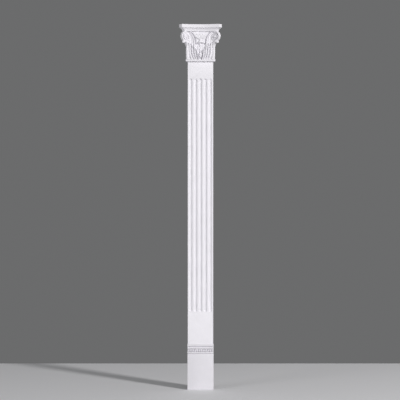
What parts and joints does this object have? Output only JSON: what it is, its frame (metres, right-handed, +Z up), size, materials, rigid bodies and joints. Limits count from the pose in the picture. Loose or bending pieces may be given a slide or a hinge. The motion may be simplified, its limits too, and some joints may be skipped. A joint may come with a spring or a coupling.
{
  "type": "pilaster",
  "caption": "Flat wall pilaster with a leafy capital with corner volutes, a shaft with stopped flutes and a plinth block moulded at its top.",
  "frame": {"origin": "middle of the shaft's back face, which lies on the wall", "axes": "+Z up along the shaft, +Y out of the back into the wall, +X to the right as seen from in front"},
  "size_m": [0.244, 0.065, 2.0966],
  "materials": {
    "capital_casting": "matt white primer on rigid foam",
    "shaft_casting": "matt white primer on rigid foam",
    "base_casting": "matt white primer on rigid foam"
  },
  "bodies": {
    "root": {"capital": "capital_casting", "shaft": "shaft_casting", "base": "base_casting"}
  },
  "joints": []
}
